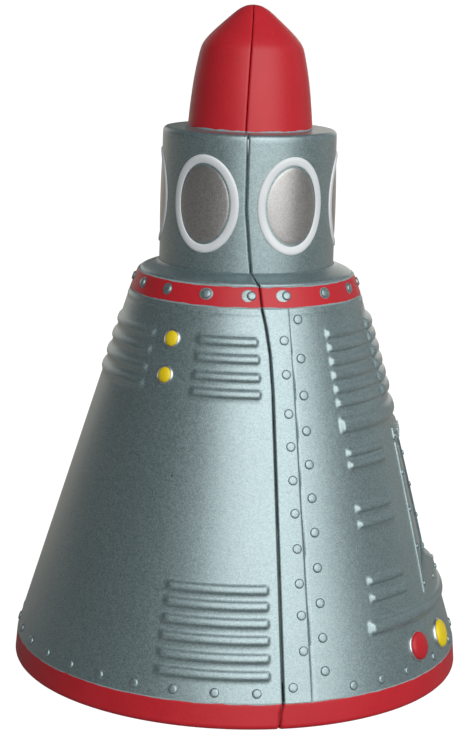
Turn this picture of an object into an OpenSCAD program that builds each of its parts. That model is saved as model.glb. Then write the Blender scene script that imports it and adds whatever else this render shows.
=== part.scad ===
// Toy space capsule in pressed sheet: a riveted cone, a porthole drum and a pointed nose, each made as
// two mating halves, with a top-hinged hatch in the right-hand side. Millimetres, +Z up, origin at the
// centre of the base. Azimuths are in degrees seen from above: 0 faces -Y and 90 faces +X.

/* [Overall] */
// Height from the standing face to the tip of the nose
total_h = 100; // [99:0.5:102]
// Thickness of the pressed sheet
sheet = 0.5; // [0.45:0.05:0.55]
// Radius of the standing rim at the floor
foot_r = 34.3; // [34.2:0.1:34.8]

/* [Cone] */
// Height of the red rim band round the foot
rim_h = 4; // [3.6:0.1:4.2]
// Outer radius of the cone where it leaves the rim band
cone_foot_r = 34; // [33.8:0.1:34.1]
// Outer radius of the cone at the underside of the collar band
cone_top_r = 17.5; // [17.3:0.1:17.7]
// Height of the underside of the collar band
cone_top_z = 57.4; // [57:0.1:57.8]
// Azimuth of the front joint between the two cone halves
cone_seam = 12; // [8:1:16]

/* [Collar and drum] */
// Height of the red collar band
collar_h = 3.1; // [2.8:0.1:3.2]
// Outer radius at the top edge of the collar band
collar_top_r = 16.3; // [16.1:0.1:16.5]
// Outer radius of the porthole drum
drum_r = 13.1; // [12.9:0.1:13.2]
// Height where the drum leaves the shoulder
drum_foot_z = 61.8; // [61.6:0.1:62]
// Height of the drum's top face
drum_top_z = 81.9; // [81.5:0.1:82.2]
// Azimuth of the front joint between the two drum halves
drum_seam = 1; // [-4:1:4]

/* [Portholes] */
// Number of portholes round the drum
porthole_count = 6; // [4:2:6]
// Half width of a porthole pane
pane_half_w = 4.3; // [4:0.1:4.5]
// Half height of a porthole pane
pane_half_h = 5.9; // [5.5:0.1:6.2]
// Width of the white ring round a pane
bezel_w = 1.3; // [1:0.1:1.4]
// How far the white ring stands off the drum
bezel_proud = 0.55; // [0.4:0.05:0.7]

/* [Nose] */
// Outer radius of the nose where it leaves the drum
nose_r = 9.3; // [9:0.1:9.5]
// Outer radius of the nose at its shoulder
nose_shoulder_r = 7.7; // [7.4:0.1:7.9]
// Distance from the nose's shoulder up to its tip
nose_tip_h = 6.7; // [6.5:0.1:6.9]
// Azimuth of the front joint between the two nose halves
nose_seam = -3; // [-6:1:3]

/* [Hatch] */
// Azimuth that the hatch faces
hatch_az = 86; // [85:1:88]
// Lean of the hatch from the vertical
hatch_lean = 13.8; // [13.5:0.1:14]
// Distance from the axis to the outer face of the hatch at its lower edge
hatch_foot_d = 28.65; // [28.5:0.05:28.7]
// Height of the lower edge of the hatch
hatch_foot_z = 15.2; // [15:0.1:15.4]
// Length of the hatch up its slope
hatch_len = 22.6; // [22.4:0.1:22.8]
// Half width of the hatch at its lower edge
hatch_foot_w = 9.7; // [9.3:0.1:9.8]
// Half width of the hatch at its upper edge
hatch_top_w = 4.3; // [4:0.1:4.4]
// Radius of the hinge pin
pin_r = 0.35; // [0.3:0.05:0.4]

/* [Rivets and lamps] */
// Radius of the heads on the cone and the seam
rivet_r = 0.65; // [0.5:0.05:0.75]
// Radius of the heads on the collar band
collar_rivet_r = 0.8; // [0.6:0.05:0.9]
// Number of rivets up one column of the seam
seam_rivet_count = 11; // [8:1:11]
// Radius of the small lamps beside the upper louvres
small_lamp_r = 1.2; // [1:0.1:1.4]
// Radius of the large lamps below the hatch
large_lamp_r = 2.1; // [1.8:0.1:2.3]

/* [Hidden] */
$fn = 72;

// Colours
METAL = [0.40, 0.47, 0.49];
RED = [0.72, 0.13, 0.17];
YELLOW = [0.93, 0.80, 0.05];
WHITE = [0.85, 0.86, 0.88];
SILVER = [0.55, 0.54, 0.55];
BRIGHT = [0.72, 0.74, 0.75];

// Cone and collar slopes, as radius lost per millimetre of height
cone_slope = (cone_foot_r - cone_top_r) / (cone_top_z - rim_h);
collar_slope = (cone_top_r - collar_top_r) / collar_h;
cone_lean = atan(cone_slope);
collar_lean = atan(collar_slope);
collar_top_z = cone_top_z + collar_h;
function cone_r(z) = cone_foot_r - (z - rim_h) * cone_slope;
function collar_r(z) = cone_top_r - (z - cone_top_z) * collar_slope;

// Fits and small features
wall_across = sheet / cos(cone_lean);   // the sheet measured level, across the cone
strap_t = 0.4;
band_t = 0.3;
strip_t = 0.2;
head_h = 0.3;
shank_r = 0.3;
hole_clear = 0.03;
fit_gap = 0.1;
rim_lip = 0.5;
skirt_r = cone_foot_r - 0.5;
flange_w = 1.6;

// Seam details
strip_span = 8.3;
rivet_off_strip = 3;
// Heights of the two staggered columns of seam rivets, from the top down
outer_rivet_z = [55.9, 50.5, 45.4, 40.5, 35.9, 31.3, 26.6, 21.8, 17, 12.3, 7.8];
strip_rivet_z = [53.1, 48.4, 43, 38.5, 33.9, 29.4, 24.6, 19.9, 15.6, 10.8];

// Louvres
rib_w = 1.2;
rib_h = 0.45;
big_rib_w = 1.6;
big_rib_h = 0.7;

// Hatch, and the azimuth about which the louvres and lamps round it are even
hood_az = hatch_az - 2;
leaf_t = 0.45;
seat_gap = 0.15;
seat_t = 0.6;
leaf_gap = 0.25;
frame_w = 0.9;
frame_proud = 0.18;
knuckle_r = 0.65;
knuckle_x = 0.15;
knuckle_z = hatch_len - 0.95;
door_knuckle_w = 1.1;
knuckle_gap = 0.1;
frame_knuckle_end = 2.5;
pin_clear = 0.05;

// ---- Helpers -------------------------------------------------------------------------------------

// Turns a radial profile, drawn as [radius, height], from one azimuth to another
module turned(from_az, to_az) {
    rotate([0, 0, from_az - 90]) rotate_extrude(angle = to_az - from_az) children();
}

// One half of a turned shell: the left half ends at the seam and the right half starts there
module left_half(seam) {
    turned(seam - 180, seam) children();
}

module right_half(seam) {
    turned(seam, seam + 180) children();
}

// Puts a child that stands on Z = 0 onto a sloping wall, with its Z along the outward normal
module on_wall(az, radius, z, lean) {
    rotate([0, 0, az - 90]) translate([radius, 0, z]) rotate([0, 90 - lean, 0]) children();
}

// An oval outline, half_w wide and half_h high
function oval(half_w, half_h, steps = 40) =
    [for (i = [0:steps - 1]) [half_w * cos(i * 360 / steps), half_h * sin(i * 360 / steps)]];

// Extrudes a Y-Z outline along +X, between two distances from the axis
module outward(from_d, to_d) {
    translate([from_d, 0, 0]) rotate([90, 0, 90]) linear_extrude(to_d - from_d) children();
}

// The hatch's own frame: X out of the door, Z up its slope, origin at its lower edge
module in_hatch() {
    rotate([0, 0, hatch_az - 90]) translate([hatch_foot_d, 0, hatch_foot_z])
        rotate([0, -hatch_lean, 0]) children();
}

// A trapezoid that follows the hatch's outline, grown by the given amount
module hatch_outline(grow, foot = 0, top = hatch_len) {
    side = (hatch_foot_w - hatch_top_w) / hatch_len;
    low = foot - grow;
    high = top + grow;
    low_w = hatch_foot_w - low * side + grow;
    high_w = hatch_foot_w - high * side + grow;
    polygon([[-low_w, low], [low_w, low], [high_w, high], [-high_w, high]]);
}

// A rivet: a domed head on a shank that reaches into the wall by depth
module rivet(radius, depth) {
    dome = (radius * radius + head_h * head_h) / (2 * head_h);
    rotate_extrude() polygon(concat(
        [[0, -depth], [shank_r, -depth], [shank_r, 0], [radius, 0]],
        [for (i = [1:4]) let (x = radius * (1 - i / 4))
            [x, sqrt(dome * dome - x * x) - dome + head_h]]));
}

module rivet_hole(depth) {
    translate([0, 0, -depth]) cylinder(r = shank_r + hole_clear, h = depth + 1);
}

// ---- Where the rivets, lamps and louvres sit ---------------------------------------------------

seam_rivet_depth = sheet + strap_t;
foot_rivet_z = 5.3;

// [azimuth from the seam, height] of each rivet beside one seam, in two staggered columns
strip_column = strip_span - rivet_off_strip + 0.4;
outer_column = strip_span + rivet_off_strip + 0.4;
seam_rivet_spots = concat(
    [[2.4, 6]],
    [for (i = [0:seam_rivet_count - 2]) [strip_column, strip_rivet_z[i]]],
    [for (i = [0:seam_rivet_count - 1]) [outer_column, outer_rivet_z[i]]]);

collar_rivet_z = 59.2;
collar_rivet_pitch = 22.5;
collar_left = [for (i = [0:7]) cone_seam - 9 - i * collar_rivet_pitch];
collar_right = [for (i = [0:7]) cone_seam + 8.6 + i * collar_rivet_pitch];

foot_rivet_pitch = 10.2;
foot_left = [for (i = [0:15]) cone_seam - 6.5 - i * foot_rivet_pitch];
foot_right = concat([for (away = [-53.4, -44.6, -35, -21.5, -7, 7, 14.7, 29.2, 43.6, 53.4]) hood_az + away],
    [for (i = [1:4]) hatch_az + 55.4 + i * foot_rivet_pitch]);

left_mid = cone_seam - 90;
small_lamp_spots = [for (side = [-1, 1], z = [52.5, 47.4]) [left_mid + side * 45, z]];
red_lamp_spots = [for (away = [-28.3, 36.3]) [hood_az + away, 7.9]];
yellow_lamp_spots = [for (away = [-14.2, 22.2]) [hood_az + away, 7.5]];

// Louvres as [from azimuth, to azimuth, height, width, standing height]
function rib_row(from_az, to_az, heights, w = rib_w, h = rib_h) =
    [for (z = heights) [from_az, to_az, z, w, h]];
upper_heights = [52.9, 50.5, 48, 45.7];
lower_heights = [19.2, 17, 14.7, 12.4, 10, 7.7];
left_ribs = concat(
    rib_row(left_mid - 35, left_mid + 35, upper_heights),
    rib_row(left_mid + 57, left_mid + 85, upper_heights),
    rib_row(left_mid - 85, left_mid - 57, upper_heights),
    rib_row(left_mid + 58, left_mid + 87, lower_heights),
    rib_row(left_mid - 87, left_mid - 58, lower_heights));
hood_heights = [for (i = [0:5]) 53.6 - i * 1.95];
right_ribs = concat(
    [for (side = [-1, 1], i = [0:5])
        side < 0 ? [hood_az - 45, hood_az - 13.5, hood_heights[i], rib_w, rib_h]
                 : [hood_az + 13.5, hood_az + 45, hood_heights[i], rib_w, rib_h]],
    rib_row(hood_az - 12.5, hood_az + 12.5, hood_heights, big_rib_w, big_rib_h),
    rib_row(hood_az - 45, hood_az + 45, [40.4], big_rib_w, big_rib_h),
    [for (z = [36.8, 35.1]) [hood_az - 44, hood_az - 23, z, rib_w, rib_h]],
    [for (z = [36.8, 35.1]) [hood_az + 23, hood_az + 44, z, rib_w, rib_h]],
    [for (z = [29, 26.8]) [hood_az - 44, hood_az - 26, z, rib_w, rib_h]],
    [for (z = [29, 26.8]) [hood_az + 26, hood_az + 44, z, rib_w, rib_h]],
    [for (z = [18.9, 16.5]) [hood_az - 44, hood_az - 28, z, rib_w, rib_h]],
    [for (z = [18.9, 16.5]) [hood_az + 28, hood_az + 44, z, rib_w, rib_h]],
    rib_row(hood_az - 46, hood_az + 46, [12.4]),
    rib_row(hood_az + 55, hood_az + 87, upper_heights),
    rib_row(hood_az + 55, hood_az + 87, lower_heights));

// ---- Cone ----------------------------------------------------------------------------------------

module cone_profile() {
    polygon([
        [skirt_r, rim_lip], [skirt_r, rim_h], [cone_foot_r, rim_h], [cone_top_r, cone_top_z],
        [cone_top_r - band_t, cone_top_z], [collar_top_r - band_t, collar_top_z],
        [drum_r + fit_gap, drum_foot_z], [drum_r + fit_gap, drum_foot_z - sheet - 0.05],
        [collar_top_r - band_t - 0.45, collar_top_z - 0.35],
        [cone_top_r - band_t - sheet, cone_top_z],
        [cone_r(cone_top_z - 0.6) - wall_across, cone_top_z - 0.6],
        [cone_r(rim_h + 0.3) - wall_across, rim_h + 0.3],
        [skirt_r - sheet, rim_h - 0.3], [skirt_r - sheet, rim_lip]]);
}

// A pressed louvre: a raised rib with sloping sides that runs level round the cone
module rib(spec) {
    z = spec[2];
    half = spec[3] / 2;
    crest = half * 0.55;
    turned(spec[0], spec[1]) polygon([
        [cone_r(z - half) - 0.2, z - half], [cone_r(z - half), z - half],
        [cone_r(z - crest) + spec[4], z - crest], [cone_r(z + crest) + spec[4], z + crest],
        [cone_r(z + half), z + half], [cone_r(z + half) - 0.2, z + half]]);
}

// side is 1 for the front seam and -1 for the back one, so that both strips lie on the right half
module seam_rivets_at(seam, side) {
    for (spot = seam_rivet_spots)
        on_wall(seam + side * spot[0], cone_r(spot[1]) + (spot[0] < strip_span ? strip_t : 0), spot[1],
            cone_lean) children();
}

module collar_rivets_at(azimuths) {
    for (az = azimuths) on_wall(az, collar_r(collar_rivet_z), collar_rivet_z, collar_lean) children();
}

module foot_rivets_at(azimuths) {
    for (az = azimuths) on_wall(az, cone_r(foot_rivet_z), foot_rivet_z, cone_lean) children();
}

module lamps_at(spots) {
    for (spot = spots) on_wall(spot[0], cone_r(spot[1]), spot[1], cone_lean) children();
}

module cone_left() {
    color(METAL) difference() {
        union() {
            left_half(cone_seam) cone_profile();
            for (spec = left_ribs) rib(spec);
        }
        collar_rivets_at(collar_left) rivet_hole(2);
        foot_rivets_at(foot_left) rivet_hole(2);
        lamps_at(small_lamp_spots) rivet_hole(2);
    }
}

module cone_right() {
    color(METAL) difference() {
        union() {
            right_half(cone_seam) cone_profile();
            for (spec = right_ribs) rib(spec);
        }
        in_hatch() outward(-6, 12) hatch_outline(frame_w);
        seam_rivets_at(cone_seam, 1) rivet_hole(seam_rivet_depth + strip_t);
        seam_rivets_at(cone_seam + 180, -1) rivet_hole(seam_rivet_depth + strip_t);
        collar_rivets_at(collar_right) rivet_hole(2);
        foot_rivets_at(foot_right) rivet_hole(2);
        lamps_at(concat(red_lamp_spots, yellow_lamp_spots)) rivet_hole(2);
    }
}

module collar_band_profile() {
    polygon([[cone_top_r - band_t, cone_top_z], [cone_top_r, cone_top_z],
        [collar_top_r, collar_top_z], [collar_top_r - band_t, collar_top_z]]);
}

module collar_band_left() {
    color(RED) difference() {
        left_half(cone_seam) collar_band_profile();
        collar_rivets_at(collar_left) rivet_hole(2);
    }
}

module collar_band_right() {
    color(RED) difference() {
        right_half(cone_seam) collar_band_profile();
        collar_rivets_at(collar_right) rivet_hole(2);
    }
}

// The rim band wraps the cone's skirt and turns under it to carry the base plate
module rim_band_profile() {
    foot_round = 0.7;
    polygon(concat(
        [[skirt_r - 1.3, 0]],
        [for (i = [0:4]) let (a = i * 22.5)
            [foot_r - foot_round + foot_round * sin(a), foot_round - foot_round * cos(a)]],
        [[cone_foot_r, rim_h], [skirt_r, rim_h], [skirt_r, rim_lip], [skirt_r - 1.3, rim_lip]]));
}

module rim_band_left() {
    color(RED) left_half(cone_seam) rim_band_profile();
}

module rim_band_right() {
    color(RED) right_half(cone_seam) rim_band_profile();
}

// A pressed pan that closes the foot, with a raised middle
module base_plate() {
    edge_r = skirt_r - sheet - 0.03;
    pan_r = edge_r - 6;
    rise = 1.2;
    color(SILVER) rotate_extrude() polygon([
        [0, rim_lip + rise], [pan_r, rim_lip + rise], [pan_r + 1.5, rim_lip], [edge_r, rim_lip],
        [edge_r, rim_lip + sheet], [pan_r + 1.7, rim_lip + sheet], [pan_r + 0.2, rim_lip + rise + sheet],
        [0, rim_lip + rise + sheet]]);
}

// ---- Seams of the cone ---------------------------------------------------------------------------

// Inside strap that joins the two halves behind a seam
module seam_strap(seam, side) {
    low = 6.6;
    high = 56.4;
    reach = strip_span + rivet_off_strip + 4;
    from_az = side > 0 ? seam - 4 : seam - reach;
    to_az = side > 0 ? seam + reach : seam + 4;
    outer = function (z) cone_r(z) - wall_across;
    color(BRIGHT) difference() {
        turned(from_az, to_az) polygon([[outer(low) - strap_t, low], [outer(low), low],
            [outer(high), high], [outer(high) - strap_t, high]]);
        seam_rivets_at(seam, side) rivet_hole(2);
    }
}

module seam_strap_front() {
    seam_strap(cone_seam, 1);
}

module seam_strap_back() {
    seam_strap(cone_seam + 180, -1);
}

// Outside strip that covers the lap beside a seam
module lap_strip(seam, side) {
    low = rim_h;
    high = cone_top_z;
    from_az = side > 0 ? seam : seam - strip_span;
    color(METAL) difference() {
        turned(from_az, from_az + strip_span) polygon([[cone_r(low), low], [cone_r(low) + strip_t, low],
            [cone_r(high) + strip_t, high], [cone_r(high), high]]);
        seam_rivets_at(seam, side) rivet_hole(2);
    }
}

module lap_strip_front() {
    lap_strip(cone_seam, 1);
}

module lap_strip_back() {
    lap_strip(cone_seam + 180, -1);
}

module seam_rivets_front() {
    color(METAL) seam_rivets_at(cone_seam, 1) rivet(rivet_r, seam_rivet_depth);
}

module seam_rivets_back() {
    color(METAL) seam_rivets_at(cone_seam + 180, -1) rivet(rivet_r, seam_rivet_depth);
}

module collar_rivets() {
    color(METAL) collar_rivets_at(concat(collar_left, collar_right)) rivet(collar_rivet_r, band_t + sheet);
}

module foot_rivets() {
    color(METAL) foot_rivets_at(concat(foot_left, foot_right)) rivet(rivet_r, sheet);
}

// ---- Lamps ---------------------------------------------------------------------------------------

// Turned metal seat that stands on the cone under a lamp's coloured cap
module lamp_seat(radius) {
    rotate_extrude() polygon([
        [shank_r + hole_clear, 0.02], [radius + 0.6, 0.02], [radius + 0.45, 0.3], [radius + 0.08, 0.5],
        [radius, 0.5], [radius, 0.15], [shank_r + hole_clear, 0.15]]);
}

module lamp_seats() {
    color(BRIGHT) {
        lamps_at(small_lamp_spots) lamp_seat(small_lamp_r);
        lamps_at(concat(red_lamp_spots, yellow_lamp_spots)) lamp_seat(large_lamp_r);
    }
}

// Domed coloured cap with a stem that is riveted over inside the wall
module lamp_cap(radius) {
    dome = 0.55;
    rotate_extrude() polygon(concat(
        [[0, -sheet], [shank_r, -sheet], [shank_r, 0.15], [radius, 0.15]],
        [for (i = [0:5]) [radius * cos(i * 18), 0.35 + dome * sin(i * 18)]]));
}

module small_lamps() {
    color(YELLOW) lamps_at(small_lamp_spots) lamp_cap(small_lamp_r);
}

module large_lamps_red() {
    color(RED) lamps_at(red_lamp_spots) lamp_cap(large_lamp_r);
}

module large_lamps_yellow() {
    color(YELLOW) lamps_at(yellow_lamp_spots) lamp_cap(large_lamp_r);
}

// ---- Drum and nose -------------------------------------------------------------------------------

module drum_profile() {
    under = drum_foot_z - sheet - 0.05;
    slope = (drum_foot_z - collar_top_z) / (collar_top_r - band_t - drum_r);
    polygon([
        [drum_r - sheet, under - 0.35], [drum_r + flange_w, under - 0.35 - flange_w * slope],
        [drum_r + flange_w, under - fit_gap - flange_w * slope], [drum_r, under - fit_gap],
        [drum_r, drum_top_z - 0.5], [drum_r - 0.4, drum_top_z - 0.1], [drum_r - 0.9, drum_top_z],
        [nose_r + 0.05, drum_top_z], [nose_r + 0.05, drum_top_z - sheet], [nose_r + 1.6, drum_top_z - sheet],
        [drum_r - sheet, drum_top_z - sheet - 0.2]]);
}

module porthole_prism(i, grow, from_d, to_d) {
    rotate([0, 0, (i - 0.5) * 360 / porthole_count - 90])
        outward(from_d, to_d) polygon(oval(pane_half_w + grow, pane_half_h + grow));
}

// Height of the middle of the portholes
porthole_z = 71.6;
neck_w = 0.4;

module porthole_holes() {
    for (i = [1:porthole_count]) translate([0, 0, porthole_z]) porthole_prism(i, neck_w, 8, drum_r + 4);
}

module drum_left() {
    color(METAL) difference() {
        left_half(drum_seam) drum_profile();
        porthole_holes();
    }
}

module drum_right() {
    color(METAL) difference() {
        right_half(drum_seam) drum_profile();
        porthole_holes();
    }
}

module drum_ring(from_r, to_r) {
    difference() {
        cylinder(r = to_r, h = 30, center = true);
        cylinder(r = from_r, h = 32, center = true);
    }
}

// White oval ring with a neck through the drum wall
module porthole_bezel(i) {
    color(WHITE) translate([0, 0, porthole_z]) difference() {
        union() {
            intersection() {
                porthole_prism(i, bezel_w, 8, drum_r + 4);
                drum_ring(drum_r, drum_r + bezel_proud);
            }
            intersection() {
                porthole_prism(i, neck_w, 8, drum_r + 1);
                drum_ring(drum_r - sheet - 0.3, drum_r + 0.1);
            }
        }
        porthole_prism(i, 0, 7, drum_r + 5);
    }
}

// Curved silver pane held in the ring's neck
module porthole_pane(i) {
    color(SILVER) translate([0, 0, porthole_z]) intersection() {
        porthole_prism(i, 0, 8, drum_r + 4);
        drum_ring(drum_r - 0.4, drum_r + 0.1);
    }
}

// Outside line of the nose, as [radius, height] from its foot to its tip, drawn in by the given amount
nose_steps = 6;
nose_shoulder_z = total_h - nose_tip_h;
function nose_side(i) = let (t = i / nose_steps)
    [nose_r - (nose_r - nose_shoulder_r) * pow(t, 2.6), drum_top_z + (nose_shoulder_z - drum_top_z) * t];
shoulder_round = [[nose_shoulder_r - 0.3, nose_shoulder_z + 0.9],
    [nose_shoulder_r - 0.9, nose_shoulder_z + 1.75]];
tip_round = [[3, total_h - 1.5], [2.2, total_h - 0.8], [1.2, total_h - 0.25], [0, total_h]];

module nose_profile() {
    outer = concat([for (i = [0:nose_steps]) nose_side(i)], shoulder_round, tip_round);
    inner = concat(
        [[0, total_h - 0.6], [1.9, total_h - 1.25], [nose_shoulder_r - 1.25, nose_shoulder_z + 1.3]],
        [for (i = [nose_steps:-1:0]) nose_side(i) - [sheet, 0]]);
    foot = drum_top_z - sheet - 0.02;
    polygon(concat(
        [[nose_r - sheet, foot - 0.4], [nose_r + 1.3, foot - 0.4], [nose_r + 1.3, foot], [nose_r, foot]],
        outer, inner));
}

module nose_left() {
    color(RED) left_half(nose_seam) nose_profile();
}

module nose_right() {
    color(RED) right_half(nose_seam) nose_profile();
}

// ---- Hatch ---------------------------------------------------------------------------------------

module hatch_knuckle(from_y, to_y) {
    translate([knuckle_x, from_y, knuckle_z]) rotate([-90, 0, 0]) cylinder(r = knuckle_r, h = to_y - from_y);
}

module hatch_bore(radius) {
    translate([knuckle_x, -6, knuckle_z]) rotate([-90, 0, 0]) cylinder(r = radius, h = 12);
}

// Flat seat for the door with a raised border, let into the cone
module hatch_frame() {
    lug_from = door_knuckle_w + knuckle_gap;
    color(METAL) difference() {
        union() {
            difference() {
                intersection() {
                    in_hatch() outward(-leaf_t - seat_gap - seat_t, 10) hatch_outline(frame_w);
                    rotate_extrude() polygon([[0, rim_h], [cone_foot_r + frame_proud, rim_h],
                        [cone_top_r + frame_proud, cone_top_z], [0, cone_top_z]]);
                }
                in_hatch() outward(-leaf_t - seat_gap, 12) hatch_outline(0);
                in_hatch() outward(-6, 2) hatch_outline(-1.4, 0, hatch_len - 1.4);
            }
            in_hatch() for (side = [-1, 1]) {
                lug_y = side > 0 ? lug_from : -frame_knuckle_end;
                hatch_knuckle(lug_y, lug_y + frame_knuckle_end - lug_from);
                translate([knuckle_x - knuckle_r, lug_y, knuckle_z])
                    cube([2 * knuckle_r, frame_knuckle_end - lug_from, hatch_len - knuckle_z + 0.2]);
            }
        }
        in_hatch() hatch_bore(pin_r);
        frame_rivets_at() rivet_hole(0.6);
    }
}

// Rivets down both sides of the frame and along its sill
frame_rivet_spots = concat(
    [for (side = [-1, 1], i = [0:4]) let (w = i * (hatch_len - 0.6) / 4 + 0.3)
        [side * (hatch_foot_w - w * (hatch_foot_w - hatch_top_w) / hatch_len + frame_w / 2), w]],
    [for (y = [-5, 0, 5]) [y, -frame_w / 2]]);
frame_rivet_r = 0.4;

// Height of the point on the border's outer face that is y across the hatch and w up its slope
function frame_level(y, w) = let (rough = hatch_foot_z + w,
    d = sqrt(pow(cone_r(rough) + frame_proud, 2) - y * y) - hatch_foot_d)
    hatch_foot_z + (w + d * sin(hatch_lean)) / cos(hatch_lean);

// Places children on the raised border, whose height over the door's plane follows the cone
module frame_rivets_at() {
    for (spot = frame_rivet_spots) {
        level = frame_level(spot[0], spot[1]);
        reach = cone_r(level) + frame_proud;
        az = hatch_az + asin(spot[0] / reach);
        on_wall(az, reach, level, cone_lean) children();
    }
}

module hatch_frame_rivets() {
    color(METAL) frame_rivets_at() rotate_extrude() polygon([
        [0, -0.5], [shank_r, -0.5], [shank_r, 0], [frame_rivet_r, 0], [frame_rivet_r * 0.7, 0.18],
        [0, 0.25]]);
}

module hatch_pin() {
    color(BRIGHT) in_hatch() translate([knuckle_x, -frame_knuckle_end - 0.1, knuckle_z])
        rotate([-90, 0, 0]) cylinder(r = pin_r, h = 2 * frame_knuckle_end + 0.2);
}

// Door leaf with a pressed panel and a knuckle that turns on the pin
module hatch_door() {
    leaf_top = hatch_len - 2.1;
    color(METAL) in_hatch() difference() {
        union() {
            outward(-leaf_t, 0) hatch_outline(-leaf_gap, 0, leaf_top);
            outward(-0.1, 0.15) hatch_outline(-1.4, 0, leaf_top - 0.4);
            hatch_knuckle(-door_knuckle_w, door_knuckle_w);
            translate([-leaf_t, -door_knuckle_w, leaf_top - 0.6])
                cube([leaf_t + 0.1, 2 * door_knuckle_w, knuckle_z - leaf_top + 0.6]);
        }
        hatch_bore(pin_r + pin_clear);
    }
}

// ---- Output --------------------------------------------------------------------------------------

cone_left();
cone_right();
drum_left();
drum_right();
nose_left();
nose_right();
collar_band_left();
collar_band_right();
rim_band_left();
rim_band_right();
base_plate();
seam_strap_front();
seam_strap_back();
lap_strip_front();
lap_strip_back();
seam_rivets_front();
seam_rivets_back();
collar_rivets();
foot_rivets();
lamp_seats();
small_lamps();
large_lamps_red();
large_lamps_yellow();
hatch_frame();
hatch_frame_rivets();
hatch_pin();
hatch_door();
for (i = [1:porthole_count]) {
    porthole_bezel(i);
    porthole_pane(i);
}
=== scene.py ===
"""Looks of a riveted toy space capsule: pressed shells with soft edges, painted in metallic grey and red."""
import math

import bmesh
import bpy
from mathutils import Matrix, Vector


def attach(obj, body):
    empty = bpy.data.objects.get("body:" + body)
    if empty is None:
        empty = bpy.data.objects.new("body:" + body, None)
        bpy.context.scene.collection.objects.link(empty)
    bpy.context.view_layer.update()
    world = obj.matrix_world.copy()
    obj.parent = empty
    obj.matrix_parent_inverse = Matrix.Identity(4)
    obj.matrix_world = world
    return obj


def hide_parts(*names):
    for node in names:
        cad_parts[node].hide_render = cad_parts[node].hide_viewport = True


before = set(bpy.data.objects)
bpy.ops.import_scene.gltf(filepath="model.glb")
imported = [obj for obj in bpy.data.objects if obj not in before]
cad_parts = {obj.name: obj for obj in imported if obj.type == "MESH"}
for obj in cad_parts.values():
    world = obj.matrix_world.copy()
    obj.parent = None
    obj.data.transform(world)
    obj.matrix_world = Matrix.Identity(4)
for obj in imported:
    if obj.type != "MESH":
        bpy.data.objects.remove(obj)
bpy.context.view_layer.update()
MM = 0.001

# ---- Sizes, in millimetres, as in the part ------------------------------------------------------
RIM_H = 4.0
FOOT_R = 34.3
CONE_FOOT_R = 34.0
CONE_TOP_R = 17.5
CONE_TOP_Z = 57.4
CONE_SEAM = 12.0
COLLAR_TOP_R = 16.3
COLLAR_TOP_Z = 60.5
DRUM_R = 13.1
DRUM_FOOT_Z = 61.8
DRUM_TOP_Z = 81.9
DRUM_SEAM = 1.0
PANE_HALF_W = 4.3
PANE_HALF_H = 5.9
PORTHOLE_Z = 71.6
NOSE_R = 9.3
NOSE_SEAM = -3.0
HATCH_AZ = 86.0
HOOD_AZ = 84.0
HATCH_LEAN = 13.8
HATCH_FOOT_D = 28.65
HATCH_FOOT_Z = 15.2
HATCH_LEN = 22.6
HATCH_FOOT_W = 9.7
HATCH_TOP_W = 4.3
HATCH_TAPER = (HATCH_FOOT_W - HATCH_TOP_W) / HATCH_LEN
FRAME_W = 0.9
FRAME_PROUD = 0.18
SHEET = 0.5
FOOT_RIVET_Z = 5.3
FOOT_RIVET_PITCH = 10.2
COLLAR_RIVET_Z = 59.2
COLLAR_RIVET_PITCH = 22.5
SMALL_LAMP_R = 1.2
LARGE_LAMP_R = 2.1
RED_LAMP_Z = 7.9
YELLOW_LAMP_Z = 7.5
SKIRT_R = CONE_FOOT_R - 0.5
EDGE_ROLL = 0.34          # how far from a seam its edges start to round
SAME_POINT = 0.0005       # vertices closer than this are merged
SLOPE = (CONE_FOOT_R - CONE_TOP_R) / (CONE_TOP_Z - RIM_H)
LEAN = math.atan(SLOPE)


def cone_r(z):
    """The cone's outer radius at a height."""
    return CONE_FOOT_R - (z - RIM_H) * SLOPE


def collar_r(z):
    """The collar's outer radius at a height."""
    return CONE_TOP_R - (z - CONE_TOP_Z) * (CONE_TOP_R - COLLAR_TOP_R) / (COLLAR_TOP_Z - CONE_TOP_Z)


def ramp(x, low, high):
    """0 below low, 1 above high, and a smooth rise between."""
    t = min(1.0, max(0.0, (x - low) / (high - low)))
    return t * t * (3 - 2 * t)


def along(x, points):
    """Straight-line value at x from (x, value) pairs in rising order."""
    if x <= points[0][0]:
        return points[0][1]
    for (x0, v0), (x1, v1) in zip(points, points[1:]):
        if x <= x1:
            return v0 + (v1 - v0) * (x - x0) / (x1 - x0)
    return points[-1][1]


# ---- Mesh helpers -------------------------------------------------------------------------------
def keep(name, bm, body, material, nodes=(), smooth=45.0):
    """Turns a finished bmesh in millimetres into a piece that stands for CAD nodes."""
    bmesh.ops.recalc_face_normals(bm, faces=bm.faces[:])
    bmesh.ops.scale(bm, vec=(MM, MM, MM), verts=bm.verts[:])
    mesh = bpy.data.meshes.new(name)
    bm.to_mesh(mesh)
    bm.free()
    mesh.polygons.foreach_set("use_smooth", [True] * len(mesh.polygons))
    mesh.set_sharp_from_angle(angle=math.radians(smooth))
    mesh.materials.append(material)
    piece = bpy.data.objects.new(name, mesh)
    bpy.context.scene.collection.objects.link(piece)
    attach(piece, body)
    if nodes:
        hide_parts(*nodes)
    return piece


def chain(bm, profile):
    """Adds a closed profile of (radius, height) points as vertices and edges, and returns them."""
    verts = [bm.verts.new((r, 0.0, z)) for r, z in profile]
    edges = [bm.edges.new(pair) for pair in zip(verts, verts[1:])]
    edges.append(bm.edges.new((verts[-1], verts[0])))
    return verts + edges


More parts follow.
